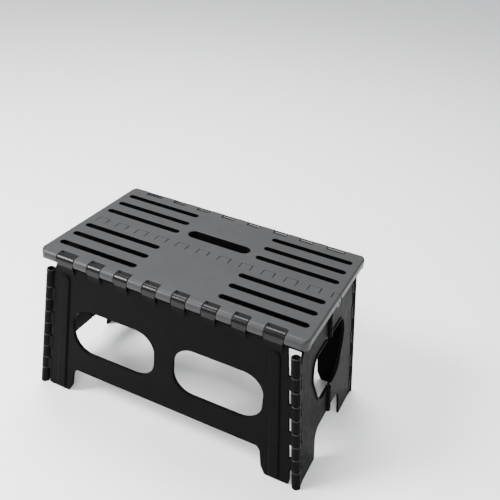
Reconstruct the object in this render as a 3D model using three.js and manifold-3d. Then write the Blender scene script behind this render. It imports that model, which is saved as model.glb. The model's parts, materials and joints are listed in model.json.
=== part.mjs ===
// Folding step stool, in millimetres, +Z up.
//
// The origin is on the floor under the middle of the stool. X runs along the stool, and the
// front side is at -Y. Two grey top halves meet at a hinge along X. The front and rear panels
// hang from the outer hinges of the top, and each end is a pair of leaves that fold inwards.
// All hinge lines at one end lean inwards by the same angle, so that the linkage closes.

import * as THREE from 'three';
import { mergeVertices } from 'three/addons/utils/BufferGeometryUtils.js';
import Module from 'manifold-3d';

const wasm = await Module();
wasm.setup();

// ---- driving dimensions ----------------------------------------------------------------------

const HEIGHT = 247; // standing surface above the floor
const HALF_LENGTH = 200; // half of the top's length, along X
const HINGE_Y = 113; // outer top hinges and corner columns, from the middle plane
const LINK_DROP = 4.5; // centre hinges sit this far below, or outside, the outer ones
const GAP = 0.4; // clearance between parts that move past each other
const FIT = 0.3; // clearance between a pin and its bore

// Top halves
const BARREL_R = 8; // rounded outer edge, which is the top's share of the outer hinge
const PLATE = 3.5; // thickness of the slotted plate
const SKIRT_DEPTH = 12;
const SKIRT = 3.5;
const RIB_DEPTH = 9;
const RIB = 2;
const PLAN_CORNER_R = 14;
const TOP_EDGE_R = 3;
const SLOT_WIDTH = 10;
const SLOT_INNER_X = 63;
const SLOT_OUTER_X = 188.5;
const SLOT_ROWS = [27.6, 56.8, 86];
const CROSS_RIBS_X = [-126, -57, 57, 126];
const HANDLE = { halfLength: 50, width: 21, y: 35, collar: 3, depth: 10 };

// Outer top hinges: [centre, width] of the panel's knuckles on one side of the middle
const PANEL_KNUCKLES = [[22, 21.5], [66, 21.5], [109, 21.5], [155.7, 28]];
const PANEL_KNUCKLE_R = 7.2;
const TOP_PIN_R = 2;
const OUTER_PIN_HALF = 188;
const CENTRE_PIN_HALF = 198;

// Centre hinge fingers: 17 mm wide, alternately from the front and from the rear half
const FINGER = 17;
const FINGER_START = -184;
const FRONT_FINGER_END = 2;
const REAR_FINGER_END = -12;
const CENTRE_KNUCKLE_R = 5.5;
const FINGER_PLATE = 6;

// Ends: the corner columns lean inwards, and their feet stand at COLUMN_X
const COLUMN_X = 213.5;
const LEAN = Math.atan(0.13);
const COLUMN_R = 6.3;
const COLUMN_PIN_R = 2.9;
const COLUMN_PIN_SPAN = [5.5, 212];
const COLUMN_LEVELS = [-4, 29.7, 52.4, 75, 97.7, 120.4, 143, 165.7, 188.3, 218];
const COLUMN_ARM_TOP = 205;
const COLUMN_EDGE = 9; // from a column's axis to the edge of the panel or leaf beside it

// Front and rear panels, as offsets from the hinge plane, outwards positive
const PANEL_OUT = 2.5;
const PANEL_IN = -0.5;
const PANEL_FLANGE_IN = -3;
const PANEL_TOP = 230;
const PANEL_FLANGE = 2.5;
const ARCH_CORNER = [153.5, 49.5, 15]; // under the panel, as [x, z, radius]
const FOOT_CORNERS = [[158.5, 14, 8], [166, 0, 5]]; // down the foot's inner side, in the same way
const FOOT_CHAMFER = { inset: 2, rise: 10 }; // at the foot's outer corner
const WINDOW = { inner: 15.4, outer: 150.2, low: 87.7, high: 165.2, corner: 31 };
const POCKET_FOOT_X = 154; // inner side of the hollow behind the foot
const RIB_TOP = 216;
const RIB_X = 180; // middle of the raised rib at the floor
const RIB_LEAN = 0.1;
const RIB_HALF = 8;
const RIB_RISE = 2.4;

// End leaves, as offsets from the plane of the corner columns, outwards positive
const LEAF_IN = 0.8;
const LEAF_OUT = 4;
const LEAF_RIM = 1.8; // outward rim round the window
const LEAF_EDGE = 5; // from the centre hinge's axis to the edge of the leaf
const LEAF_KNUCKLE_R = 4.2;
const LEAF_PIN_R = 1.6;
const LEAF_TOP = 226;
const LEAF_ARCH = { y: 50, z: 48, r: 17, footY: 53 }; // half of the arch between an end's feet
const LEAF_SHOULDER = { run: 18, drop: 22 }; // slope beside the column's top
const END_WINDOW = [[38, 92, 24], [64, 146, 26], [58, 177, 17]]; // half of it, as [y, z, radius]
const END_RIM = { wall: 2.5, clear: 11 }; // the window's rim, and where it stops by the middle
const LEAF_LOW_KNUCKLES = { from: 48, pitch: 11, count: 4 };
const LEAF_HIGH_KNUCKLES = { from: 178, pitch: 12, count: 4 };

const BARREL_Z = HEIGHT - BARREL_R;
const CENTRE_Z = BARREL_Z - LINK_DROP;
const SIDES = [-1, 1];
const UPRIGHT = new THREE.Matrix4();

// ---- materials -------------------------------------------------------------------------------

const greyPlastic = () => new THREE.MeshStandardMaterial({ color: '#57595c', roughness: 0.55 });
const blackPlastic = () => new THREE.MeshStandardMaterial({ color: '#161718', roughness: 0.42 });
const pinPlastic = () => new THREE.MeshStandardMaterial({ color: '#222325', roughness: 0.5 });

// ---- making and joining closed shapes --------------------------------------------------------

function solid(geometry) {
  const bare = geometry.clone();
  bare.deleteAttribute('normal');
  bare.deleteAttribute('uv');
  const merged = mergeVertices(bare, 1e-4);
  const triangles = [];
  for (let i = 0; i < merged.index.count; i += 3) {
    const corners = [0, 1, 2].map((k) => merged.index.getX(i + k));
    if (new Set(corners).size === 3) {
      triangles.push(...corners);
    }
  }
  return new wasm.Manifold(new wasm.Mesh({
    numProp: 3,
    vertProperties: new Float32Array(merged.attributes.position.array),
    triVerts: new Uint32Array(triangles),
  }));
}

function join(pieces) {
  return pieces.reduce((whole, piece) => whole.add(piece));
}

function cut(body, tools) {
  return tools.reduce((rest, tool) => rest.subtract(tool), body);
}

function toMesh(name, body, material) {
  const { vertProperties, triVerts } = body.getMesh();
  const geometry = new THREE.BufferGeometry();
  geometry.setAttribute('position', new THREE.BufferAttribute(new Float32Array(vertProperties), 3));
  geometry.setIndex(new THREE.BufferAttribute(new Uint32Array(triVerts), 1));
  geometry.computeVertexNormals();
  const mesh = new THREE.Mesh(geometry, material);
  mesh.name = name;
  return mesh;
}

// A box between two values on each axis, given in either order.
function box(xs, ys, zs, frame = UPRIGHT) {
  const size = [xs, ys, zs].map(([a, b]) => Math.abs(b - a));
  const middle = [xs, ys, zs].map(([a, b]) => (a + b) / 2);
  return solid(new THREE.BoxGeometry(...size).translate(...middle).applyMatrix4(frame));
}

// A round bar along X, centred on y and z.
function barX(radius, xs, y, z, segments = 12) {
  const length = Math.abs(xs[1] - xs[0]);
  const geometry = new THREE.CylinderGeometry(radius, radius, length, segments);
  geometry.rotateZ(Math.PI / 2).translate((xs[0] + xs[1]) / 2, y, z);
  return solid(geometry);
}

// A round bar along a frame's own Z, centred on its x and y.
function barZ(radius, x, y, zs, frame = UPRIGHT, segments = 12) {
  const length = Math.abs(zs[1] - zs[0]);
  const geometry = new THREE.CylinderGeometry(radius, radius, length, segments);
  geometry.rotateX(Math.PI / 2).translate(x, y, (zs[0] + zs[1]) / 2);
  return solid(geometry.applyMatrix4(frame));
}

// A closed outline through corners given as [x, y, radius].
function outline(corners) {
  const shape = new THREE.Shape();
  corners.forEach(([x, y, radius], i) => {
    const corner = new THREE.Vector2(x, y);
    const [lastX, lastY] = corners.at(i - 1);
    const [nextX, nextY] = corners[(i + 1) % corners.length];
    const back = new THREE.Vector2(lastX, lastY).sub(corner).normalize();
    const on = new THREE.Vector2(nextX, nextY).sub(corner).normalize();
    const half = Math.acos(back.dot(on)) / 2;
    const start = corner.clone().addScaledVector(back, radius / Math.tan(half));
    const end = corner.clone().addScaledVector(on, radius / Math.tan(half));
    const inward = back.clone().add(on).normalize();
    const centre = corner.clone().addScaledVector(inward, radius / Math.sin(half));
    const from = start.sub(centre).angle();
    const to = end.sub(centre).angle();
    shape.absarc(centre.x, centre.y, radius, from, to, back.cross(on) > 0);
  });
  return shape;
}

// An outline drawn in X and Z, with thickness from one Y to the other.
function slabXZ(shape, ys, curveSegments = 2) {
  const depth = Math.abs(ys[1] - ys[0]);
  const geometry = new THREE.ExtrudeGeometry(shape, { depth, bevelEnabled: false, curveSegments });
  geometry.rotateX(Math.PI / 2).translate(0, Math.max(...ys), 0);
  return solid(geometry);
}

// An outline drawn in Y and Z, with thickness from one X to the other.
function slabYZ(shape, xs, curveSegments = 2) {
  const depth = Math.abs(xs[1] - xs[0]);
  const geometry = new THREE.ExtrudeGeometry(shape, { depth, bevelEnabled: false, curveSegments });
  const turn = new THREE.Matrix4().makeBasis(
    new THREE.Vector3(0, 1, 0),
    new THREE.Vector3(0, 0, 1),
    new THREE.Vector3(1, 0, 0),
  );
  geometry.applyMatrix4(turn).translate(Math.min(...xs), 0, 0);
  return solid(geometry);
}

// A slot with round ends along X, cut down through the top.
function slotTool(xs, y, width, zs) {
  const r = width / 2 - 0.01;
  const shape = outline([
    [xs[0], y - width / 2, r],
    [xs[1], y - width / 2, r],
    [xs[1], y + width / 2, r],
    [xs[0], y + width / 2, r],
  ]);
  const depth = zs[1] - zs[0];
  const geometry = new THREE.ExtrudeGeometry(shape, { depth, bevelEnabled: false, curveSegments: 2 });
  return solid(geometry.translate(0, 0, zs[0]));
}

// ---- top halves ------------------------------------------------------------------------------

// The plan of the whole top, with its corners and upper edge rounded.
function topEnvelope() {
  const halfWidth = HINGE_Y + BARREL_R;
  const inset = TOP_EDGE_R;
  const x = HALF_LENGTH - inset;
  const y = halfWidth - inset;
  const r = PLAN_CORNER_R - inset;
  const shape = outline([[-x, -y, r], [x, -y, r], [x, y, r], [-x, y, r]]);
  const geometry = new THREE.ExtrudeGeometry(shape, {
    depth: 30,
    bevelThickness: inset,
    bevelSize: inset,
    bevelSegments: 2,
    curveSegments: 3,
  });
  return solid(geometry.translate(0, 0, HEIGHT - inset - 30));
}

// X spans of the fingers that the front half carries, or those that the rear half carries.
function fingerSpans(front) {
  const spans = [];
  const first = front ? FINGER_START : FINGER_START - FINGER;
  for (let x = first; x < HALF_LENGTH; x += 2 * FINGER) {
    spans.push([Math.max(x, -HALF_LENGTH), Math.min(x + FINGER, HALF_LENGTH)]);
  }
  return spans;
}

// Both sides' panel knuckles as X spans, each widened by a clearance.
function panelKnuckleSpans(clearance) {
  return SIDES.flatMap((side) => PANEL_KNUCKLES.map(([middle, width]) => {
    const half = width / 2 + clearance;
    return [side * middle - half, side * middle + half];
  }));
}

function ribGrid(side, seamY) {
  const ribZ = [HEIGHT - RIB_DEPTH, HEIGHT - 1];
  const rowGap = (SLOT_ROWS[1] - SLOT_ROWS[0]) / 2;
  const along = SLOT_ROWS.map((row) => row + rowGap).map((y) => (
    box([-HALF_LENGTH + 1, HALF_LENGTH - 1], [side * y - RIB / 2, side * y + RIB / 2], ribZ)
  ));
  const across = CROSS_RIBS_X.map((x) => (
    box([x - RIB / 2, x + RIB / 2], [seamY + side * 2, side * HINGE_Y], ribZ)
  ));
  return [...along, ...across];
}

function topHalf(front) {
  const side = front ? -1 : 1;
  const length = [-HALF_LENGTH, HALF_LENGTH];
  const hingeY = side * HINGE_Y;
  const seamY = front ? REAR_FINGER_END - GAP / 2 : FRONT_FINGER_END + GAP / 2;
  const tipY = front ? FRONT_FINGER_END - GAP : REAR_FINGER_END + GAP / 2;
  const fingers = fingerSpans(front).map(([a, b]) => [a + GAP / 2, b - GAP / 2]);
  const skirtZ = [HEIGHT - SKIRT_DEPTH, HEIGHT - 1];

  const plate = box(length, [hingeY, seamY], [HEIGHT - PLATE, HEIGHT]);
  const barrel = barX(BARREL_R, length, hingeY, BARREL_Z, 16);
  const skirts = SIDES.map((end) => (
    box([end * HALF_LENGTH, end * (HALF_LENGTH - SKIRT)], [hingeY, seamY], skirtZ)
  ));
  const fingerPlates = fingers.map((xs) => (
    box(xs, [seamY + side * 4, tipY], [HEIGHT - FINGER_PLATE, HEIGHT])
  ));
  const knuckles = fingers.flatMap((xs) => [
    barX(CENTRE_KNUCKLE_R, xs, 0, CENTRE_Z),
    box(xs, [side * CENTRE_KNUCKLE_R, front ? tipY : -CENTRE_KNUCKLE_R], [CENTRE_Z, HEIGHT - 1]),
  ]);
  const slots = SIDES.flatMap((end) => SLOT_ROWS.map((row) => {
    const xs = [end * SLOT_INNER_X, end * SLOT_OUTER_X].sort((a, b) => a - b);
    return slotTool(xs, side * row, SLOT_WIDTH, [HEIGHT - PLATE - 0.5, HEIGHT + 1]);
  }));
  const notches = panelKnuckleSpans(0).map((xs) => (
    box(xs, [side * (HINGE_Y - BARREL_R - 0.2), side * (HINGE_Y + 20)], [BARREL_Z - 12, HEIGHT + 1])
  ));
  const otherFingers = fingerSpans(!front).map(([a, b]) => (
    barX(CENTRE_KNUCKLE_R + GAP, [a - GAP / 2, b + GAP / 2], 0, CENTRE_Z)
  ));
  const bores = [
    barX(TOP_PIN_R + FIT, [-OUTER_PIN_HALF - 1, OUTER_PIN_HALF + 1], hingeY, BARREL_Z, 8),
    barX(TOP_PIN_R + FIT, [-HALF_LENGTH - 1, HALF_LENGTH + 1], 0, CENTRE_Z, 8),
  ];

  let body = join([plate, barrel, ...skirts, ...ribGrid(side, seamY)]);
  body = cut(body, otherFingers);
  body = join([body, ...fingerPlates, ...knuckles]).intersect(topEnvelope());
  if (!front) {
    body = addHandle(body);
  }
  return cut(body, [...slots, ...notches, ...bores]);
}

// The carrying handle: a collared finger slot through the rear half.
function addHandle(body) {
  const { halfLength, width, y, collar, depth } = HANDLE;
  const bottom = HEIGHT - depth;
  const outer = slotTool(
    [-halfLength - collar, halfLength + collar],
    y,
    width + 2 * collar,
    [bottom, HEIGHT - 1],
  );
  const inner = slotTool([-halfLength, halfLength], y, width, [bottom - 1, HEIGHT + 1]);
  return body.add(outer).subtract(inner);
}

// ---- ends ------------------------------------------------------------------------------------

// The frame of one end: its Z runs up the leaning columns, and its X is still across the end.
function endFrame(end) {
  const turn = new THREE.Matrix4().makeRotationY(-end * LEAN);
  return new THREE.Matrix4().makeTranslation(end * COLUMN_X, 0, 0).multiply(turn);
}

// Level pairs of one corner column. Leaves own every other one, starting at the foot.
function columnSpans(ofLeaf) {
  const spans = [];
  for (let i = 0; i + 1 < COLUMN_LEVELS.length; i += 1) {
    if ((i % 2 === 0) === ofLeaf) {
      spans.push([COLUMN_LEVELS[i] + GAP / 2, COLUMN_LEVELS[i + 1] - GAP / 2]);
    }
  }
  return spans;
}

// Everything under the floor, as seen in an end's own frame.
function belowFloor(end) {
  return box([-500, 500], [-300, 300], [-60, 0], endFrame(end).invert());
}

function columnBore(y, frame) {
  const low = COLUMN_PIN_SPAN[0] - FIT;
  return barZ(COLUMN_PIN_R + FIT, 0, y, [low, 260], frame, 8);
}

// ---- front and rear panels -------------------------------------------------------------------

function panelEdgeX(z) {
  return COLUMN_X - COLUMN_EDGE / Math.cos(LEAN) - Math.tan(LEAN) * z;
}

// The panel's outline: straight top, leaning sides and two feet with an arch between them.
function panelShape() {
  const half = [
    ARCH_CORNER,
    ...FOOT_CORNERS,
    [panelEdgeX(0) - FOOT_CHAMFER.inset, 0, 3],
    [panelEdgeX(FOOT_CHAMFER.rise), FOOT_CHAMFER.rise, 2],
    [panelEdgeX(PANEL_TOP), PANEL_TOP, 4],
  ];
  const left = half.map(([x, z, r]) => [-x, z, r]).reverse();
  return outline([...half, ...left]);
}

function windowShape(end, grow) {
  const { inner, outer, low, high, corner } = WINDOW;
  const near = end * (inner - grow);
  const far = end * (outer + grow);
  const r = corner + grow;
  const bottom = low - grow;
  const top = high + grow;
  return outline([[near, bottom, r], [far, bottom, r], [far, top, r], [near, top, r]]);
}

// A raised rib with a round top that runs down into the foot.
function panelRib(end, side) {
  const foot = end * RIB_X;
  const head = end * (RIB_X - RIB_LEAN * RIB_TOP);
  const shape = outline([
    [foot - RIB_HALF, 3, 1],
    [foot + RIB_HALF, 3, 1],
    [head + RIB_HALF, RIB_TOP, RIB_HALF - 1],
    [head - RIB_HALF, RIB_TOP, RIB_HALF - 1],
  ]);
  const y = side * (HINGE_Y + PANEL_OUT);
  return slabXZ(shape, [y - side, y + side * RIB_RISE]);
}

function panel(side) {
  const offset = (value) => side * (HINGE_Y + value);
  const plate = slabXZ(panelShape(), [offset(PANEL_FLANGE_IN), offset(PANEL_OUT)]);
  const [, archZ] = ARCH_CORNER;
  const pocketRight = [
    [POCKET_FOOT_X, archZ + PANEL_FLANGE, 12],
    [POCKET_FOOT_X, -5, 1],
    [HALF_LENGTH + 40, -5, 1],
    [HALF_LENGTH + 40, PANEL_TOP - PANEL_FLANGE, 1],
  ];
  const pocketLeft = pocketRight.map(([x, z, r]) => [-x, z, r]).reverse();
  const pocketDepth = [offset(PANEL_FLANGE_IN - 5), offset(PANEL_IN)];
  let pocket = slabXZ(outline([...pocketRight, ...pocketLeft]), pocketDepth);
  const through = [offset(-23), offset(27)];
  const rims = SIDES.map((end) => slabXZ(windowShape(end, PANEL_FLANGE), through));
  pocket = cut(pocket, rims);
  const windows = SIDES.map((end) => slabXZ(windowShape(end, 0), through));

  const topKnuckles = panelKnuckleSpans(-GAP).flatMap((xs) => [
    barX(PANEL_KNUCKLE_R, xs, side * HINGE_Y, BARREL_Z),
    box(xs, [offset(PANEL_IN - 2), offset(PANEL_OUT)], [PANEL_TOP - 6, BARREL_Z]),
  ]);
  const sideKnuckles = SIDES.flatMap((end) => columnSpans(false).flatMap((zs) => [
    barZ(COLUMN_R, 0, side * HINGE_Y, zs, endFrame(end)),
    box([-end * (COLUMN_EDGE + 3), 0], [offset(PANEL_IN), offset(PANEL_OUT + 0.5)], zs, endFrame(end)),
  ]));
  const ribs = SIDES.map((end) => panelRib(end, side));
  const bores = [
    barX(TOP_PIN_R + FIT, [-HALF_LENGTH, HALF_LENGTH], side * HINGE_Y, BARREL_Z, 8),
    ...SIDES.map((end) => columnBore(side * HINGE_Y, endFrame(end))),
  ];
  const body = join([cut(plate, [pocket]), ...ribs, ...topKnuckles, ...sideKnuckles]);
  return cut(body, [...windows, ...bores]);
}

// ---- end leaves ------------------------------------------------------------------------------

// One leaf's outline in Y and the frame's Z. It is half of the end, with half of its arch.
function leafShape(side) {
  const edge = HINGE_Y - COLUMN_EDGE;
  return outline([
    [side * LEAF_EDGE, LEAF_ARCH.z, 0.5],
    [side * LEAF_ARCH.y, LEAF_ARCH.z, LEAF_ARCH.r],
    [side * LEAF_ARCH.footY, -6, 1],
    [side * edge, -6, 1],
    [side * edge, LEAF_TOP - LEAF_SHOULDER.drop, 6],
    [side * (edge - LEAF_SHOULDER.run), LEAF_TOP, 8],
    [side * LEAF_EDGE, LEAF_TOP, 1],
  ]);
}

// The end's window, which both leaves share.
function leafWindow(grow) {
  const [low, middle, high] = END_WINDOW;
  const half = [
    [low[0] + grow, low[1] - grow, low[2] + grow],
    [middle[0] + grow, middle[1], middle[2]],
    [high[0] + grow, high[1] + grow, high[2] + grow],
  ];
  const other = half.map(([y, z, r]) => [-y, z, r]).reverse();
  return outline([...half, ...other]);
}

// The centre hinge's levels that one leaf owns.
function leafKnuckleSpans(side) {
  const parity = side < 0 ? 0 : 1;
  return [LEAF_LOW_KNUCKLES, LEAF_HIGH_KNUCKLES].flatMap(({ from, pitch, count }) => (
    [...Array(count).keys()]
      .filter((i) => i % 2 === parity)
      .map((i) => [from + i * pitch + GAP / 2, from + (i + 1) * pitch - GAP / 2])
  ));
}

function leaf(end, side) {
  const columnY = side * HINGE_Y;
  const plate = slabYZ(leafShape(side), [end * LEAF_IN, end * LEAF_OUT]);
  const rim = slabYZ(leafWindow(END_RIM.wall), [end * LEAF_IN, end * (LEAF_OUT + LEAF_RIM)])
    .intersect(box([-20, 20], [side * END_RIM.clear, side * 90], [60, 210]));
  const window = slabYZ(leafWindow(0), [-20, 20]);
  const columnKnuckles = columnSpans(true).flatMap(([low, high]) => [
    barZ(COLUMN_R, 0, columnY, [low, high]),
    box(
      [end * LEAF_IN, end * LEAF_OUT],
      [columnY, columnY - side * (COLUMN_EDGE + 3)],
      [low, Math.min(high, COLUMN_ARM_TOP)],
    ),
  ]);
  const centreKnuckles = leafKnuckleSpans(side).flatMap((zs) => [
    barZ(LEAF_KNUCKLE_R, end * LINK_DROP, 0, zs, UPRIGHT, 10),
    box([end * LEAF_IN, end * LEAF_OUT], [0, side * (LEAF_EDGE + 3)], zs),
  ]);
  const body = join([cut(plate.add(rim), [window]), ...columnKnuckles, ...centreKnuckles]);
  return cut(body, [
    columnBore(columnY, UPRIGHT),
    barZ(LEAF_PIN_R + FIT, end * LINK_DROP, 0, [20, 250], UPRIGHT, 8),
    belowFloor(end),
  ]);
}

// ---- pins ------------------------------------------------------------------------------------

function leafPin(end, { from, pitch, count }) {
  const zs = [from + 1, from + pitch * count - 1];
  return barZ(LEAF_PIN_R, end * LINK_DROP, 0, zs, UPRIGHT, 8);
}

function cornerRod(side) {
  return barZ(COLUMN_PIN_R, 0, side * HINGE_Y, COLUMN_PIN_SPAN, UPRIGHT, 8);
}

function topRod(halfLength, y, z) {
  return barX(TOP_PIN_R, [-halfLength, halfLength], y, z, 8);
}

// ---- the stool -------------------------------------------------------------------------------

function makeEnd(end, endName) {
  const group = new THREE.Group();
  group.position.x = end * COLUMN_X;
  group.rotation.y = -end * LEAN;
  for (const [side, sideName] of [[-1, 'front'], [1, 'rear']]) {
    group.add(toMesh(`${endName}_${sideName}_leaf`, leaf(end, side), blackPlastic()));
    group.add(toMesh(`${endName}_${sideName}_corner_rod`, cornerRod(side), pinPlastic()));
  }
  group.add(toMesh(`${endName}_lower_fold_pin`, leafPin(end, LEAF_LOW_KNUCKLES), pinPlastic()));
  group.add(toMesh(`${endName}_upper_fold_pin`, leafPin(end, LEAF_HIGH_KNUCKLES), pinPlastic()));
  return group;
}

const stool = new THREE.Group();
stool.add(toMesh('top_front', topHalf(true), greyPlastic()));
stool.add(toMesh('top_rear', topHalf(false), greyPlastic()));
stool.add(toMesh('front_panel', panel(-1), blackPlastic()));
stool.add(toMesh('rear_panel', panel(1), blackPlastic()));
stool.add(toMesh('front_hinge_rod', topRod(OUTER_PIN_HALF, -HINGE_Y, BARREL_Z), pinPlastic()));
stool.add(toMesh('rear_hinge_rod', topRod(OUTER_PIN_HALF, HINGE_Y, BARREL_Z), pinPlastic()));
stool.add(toMesh('centre_hinge_rod', topRod(CENTRE_PIN_HALF, 0, CENTRE_Z), pinPlastic()));
stool.add(makeEnd(-1, 'left'));
stool.add(makeEnd(1, 'right'));

export default stool;
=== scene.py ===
import json
import math

import bmesh
import bpy
from bpy.props import FloatProperty, FloatVectorProperty, IntProperty, PointerProperty
from mathutils import Matrix, Vector


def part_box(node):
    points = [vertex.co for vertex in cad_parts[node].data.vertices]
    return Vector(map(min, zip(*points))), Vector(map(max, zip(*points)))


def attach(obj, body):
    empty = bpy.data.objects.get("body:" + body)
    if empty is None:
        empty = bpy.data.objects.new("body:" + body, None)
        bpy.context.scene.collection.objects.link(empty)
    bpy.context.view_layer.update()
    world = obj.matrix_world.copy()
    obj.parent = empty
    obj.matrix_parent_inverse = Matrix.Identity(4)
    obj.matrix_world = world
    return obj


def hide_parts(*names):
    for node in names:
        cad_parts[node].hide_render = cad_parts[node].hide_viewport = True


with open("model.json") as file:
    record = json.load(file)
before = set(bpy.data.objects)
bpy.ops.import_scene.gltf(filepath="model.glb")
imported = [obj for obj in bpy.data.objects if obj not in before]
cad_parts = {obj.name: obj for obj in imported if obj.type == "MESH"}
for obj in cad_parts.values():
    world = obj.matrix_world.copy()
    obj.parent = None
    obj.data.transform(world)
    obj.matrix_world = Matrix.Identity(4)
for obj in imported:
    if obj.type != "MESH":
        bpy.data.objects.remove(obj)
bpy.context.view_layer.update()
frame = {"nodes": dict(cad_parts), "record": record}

bl_info = {
    "name": "Folding Step Stool",
    "version": (1, 0, 0),
    "blender": (4, 5, 0),
    "location": "3D View > Sidebar > Step Stool",
    "description": "Builds the moulded pieces of a folding plastic step stool round its frame",
    "category": "Add Mesh",
}

# ---- places that come from the frame ---------------------------------------------------------

MM = 0.001


def joint_place(name):
    """Return a joint's position and axis at rest."""
    for joint in frame["record"]["behaviour"]["joints"]:
        if joint["name"] == name:
            return Vector(joint["pos_m"]), Vector(joint["axis"])
    raise RuntimeError(f"the frame has no joint {name}")


TOP_LOW, TOP_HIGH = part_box("top_front")
HALF_LENGTH = TOP_HIGH.x
HEIGHT = TOP_HIGH.z
OUTER_Y = -TOP_LOW.y
FOLD_POINT = joint_place("fold")[0]
HINGE_Y = -FOLD_POINT.y
BARREL_Z = FOLD_POINT.z
BARREL_R = OUTER_Y - HINGE_Y
CENTRE_Z = joint_place("centre_hinge")[0].z
LINK_DROP = BARREL_Z - CENTRE_Z
COLUMN_POINT, COLUMN_AXIS = joint_place("right_corner")
COLUMN_X = COLUMN_POINT.x
LEAN = math.atan2(-COLUMN_AXIS.x, COLUMN_AXIS.z)
ENDS = {"left": -1, "right": 1}
SIDES = {"front": -1, "rear": 1}

# ---- fixed layout of the mouldings, in metres ------------------------------------------------

NEAR = 0.05 * MM            # counts as on a face, and keeps neighbouring arcs apart
PAST = 20 * MM              # how far a cutter runs past what it cuts
THROUGH = (-PAST, PAST)
GAP = 0.4 * MM              # between the knuckles of a hinge
PIN_BORE = 2.3 * MM

# The top: slots, ribs underneath, outer rails and centre fingers.
ABOVE = HEIGHT + 5 * MM
SLOT_ROWS = [27.6 * MM, 56.8 * MM, 86 * MM]
SLOT_SPAN = (63 * MM, 188.5 * MM)
CELL_WALLS = [57 * MM, 92 * MM, 126 * MM, 160 * MM]
CELL_START = 15.5 * MM
HALF_RIB = 1 * MM
RIB_DEPTH = 9 * MM
RAIL_WIDTH, RAIL_FOOT, RAIL_DROP = 16 * MM, 14.5 * MM, 4 * MM
NOTCH_DEPTH = 16.2 * MM
FINGER = 17 * MM
FINGER_START = -184 * MM
FINGER_PLATE = 6 * MM       # what the rear half keeps above the front fingers
FINGER_ROOM = 9.5 * MM
FRONT_SEAM, REAR_SEAM = 12.2 * MM, 2.6 * MM
FRONT_TIP, REAR_TIP = -1.6 * MM, -12.08 * MM
CENTRE_R = 5.5 * MM
HANDLE_COLLAR = 3 * MM
HANDLE_DEPTH = 10 * MM

# The panels: windows, ribs, top knuckles as (middle, width) in millimetres, corner columns.
PANEL_HEAD = 230 * MM
WINDOW_SIDES = (15.4 * MM, 150.2 * MM)
WINDOW_LEVELS = (87.7 * MM, 165.2 * MM)
WINDOW_R = 31 * MM
WINDOW_RIM = 2.5 * MM
RIB_HALF = 8 * MM
RIB_FOOT_X, RIB_FOOT_Z, RIB_HEAD_Z = 180 * MM, 4 * MM, 216 * MM
RIB_LEAN = 0.1
PANEL_KNUCKLES = [(22, 21.5), (66, 21.5), (109, 21.5), (155.7, 28)]
KNUCKLE_FOOT = 231 * MM
COLUMN_LEVELS = [-4, 29.7, 52.4, 75, 97.7, 120.4, 143, 165.7, 188.3, 218]
COLUMN_R = 6.3 * MM
COLUMN_BORE = 3.2 * MM
COLUMN_EDGE = 9 * MM
BORE_LEVELS = (5 * MM, 260 * MM)
ARM_REACH = 3 * MM          # how far a knuckle's arm runs into the wall that it joins
ARM_RISE = 0.6 * MM
ARM_INSET = 0.3 * MM

# The end leaves: middle knuckles as (lowest level, pitch, count) in millimetres.
LEAF_FOOT, LEAF_HEAD = -6 * MM, 226 * MM
LEAF_ARCH = 48 * MM
LEAF_SHOULDER = 204 * MM
LEAF_R = 4.2 * MM
LEAF_BORE = 1.9 * MM
LEAF_EDGE = 5 * MM
FOLD_LEVELS = [(48, 11, 4), (178, 12, 4)]
FOLD_ARM_INSET = 1.2 * MM


# ---- what a user may change ------------------------------------------------------------------

def length_property(name, description, default):
    """Return a length in metres."""
    return FloatProperty(name=name, description=description, default=default,
                         min=0.0, unit="LENGTH", precision=5)


def colour_property(name, description, default):
    """Return a colour."""
    return FloatVectorProperty(name=name, description=description, default=default,
                               subtype="COLOR", size=3, min=0.0, max=1.0)


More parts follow.
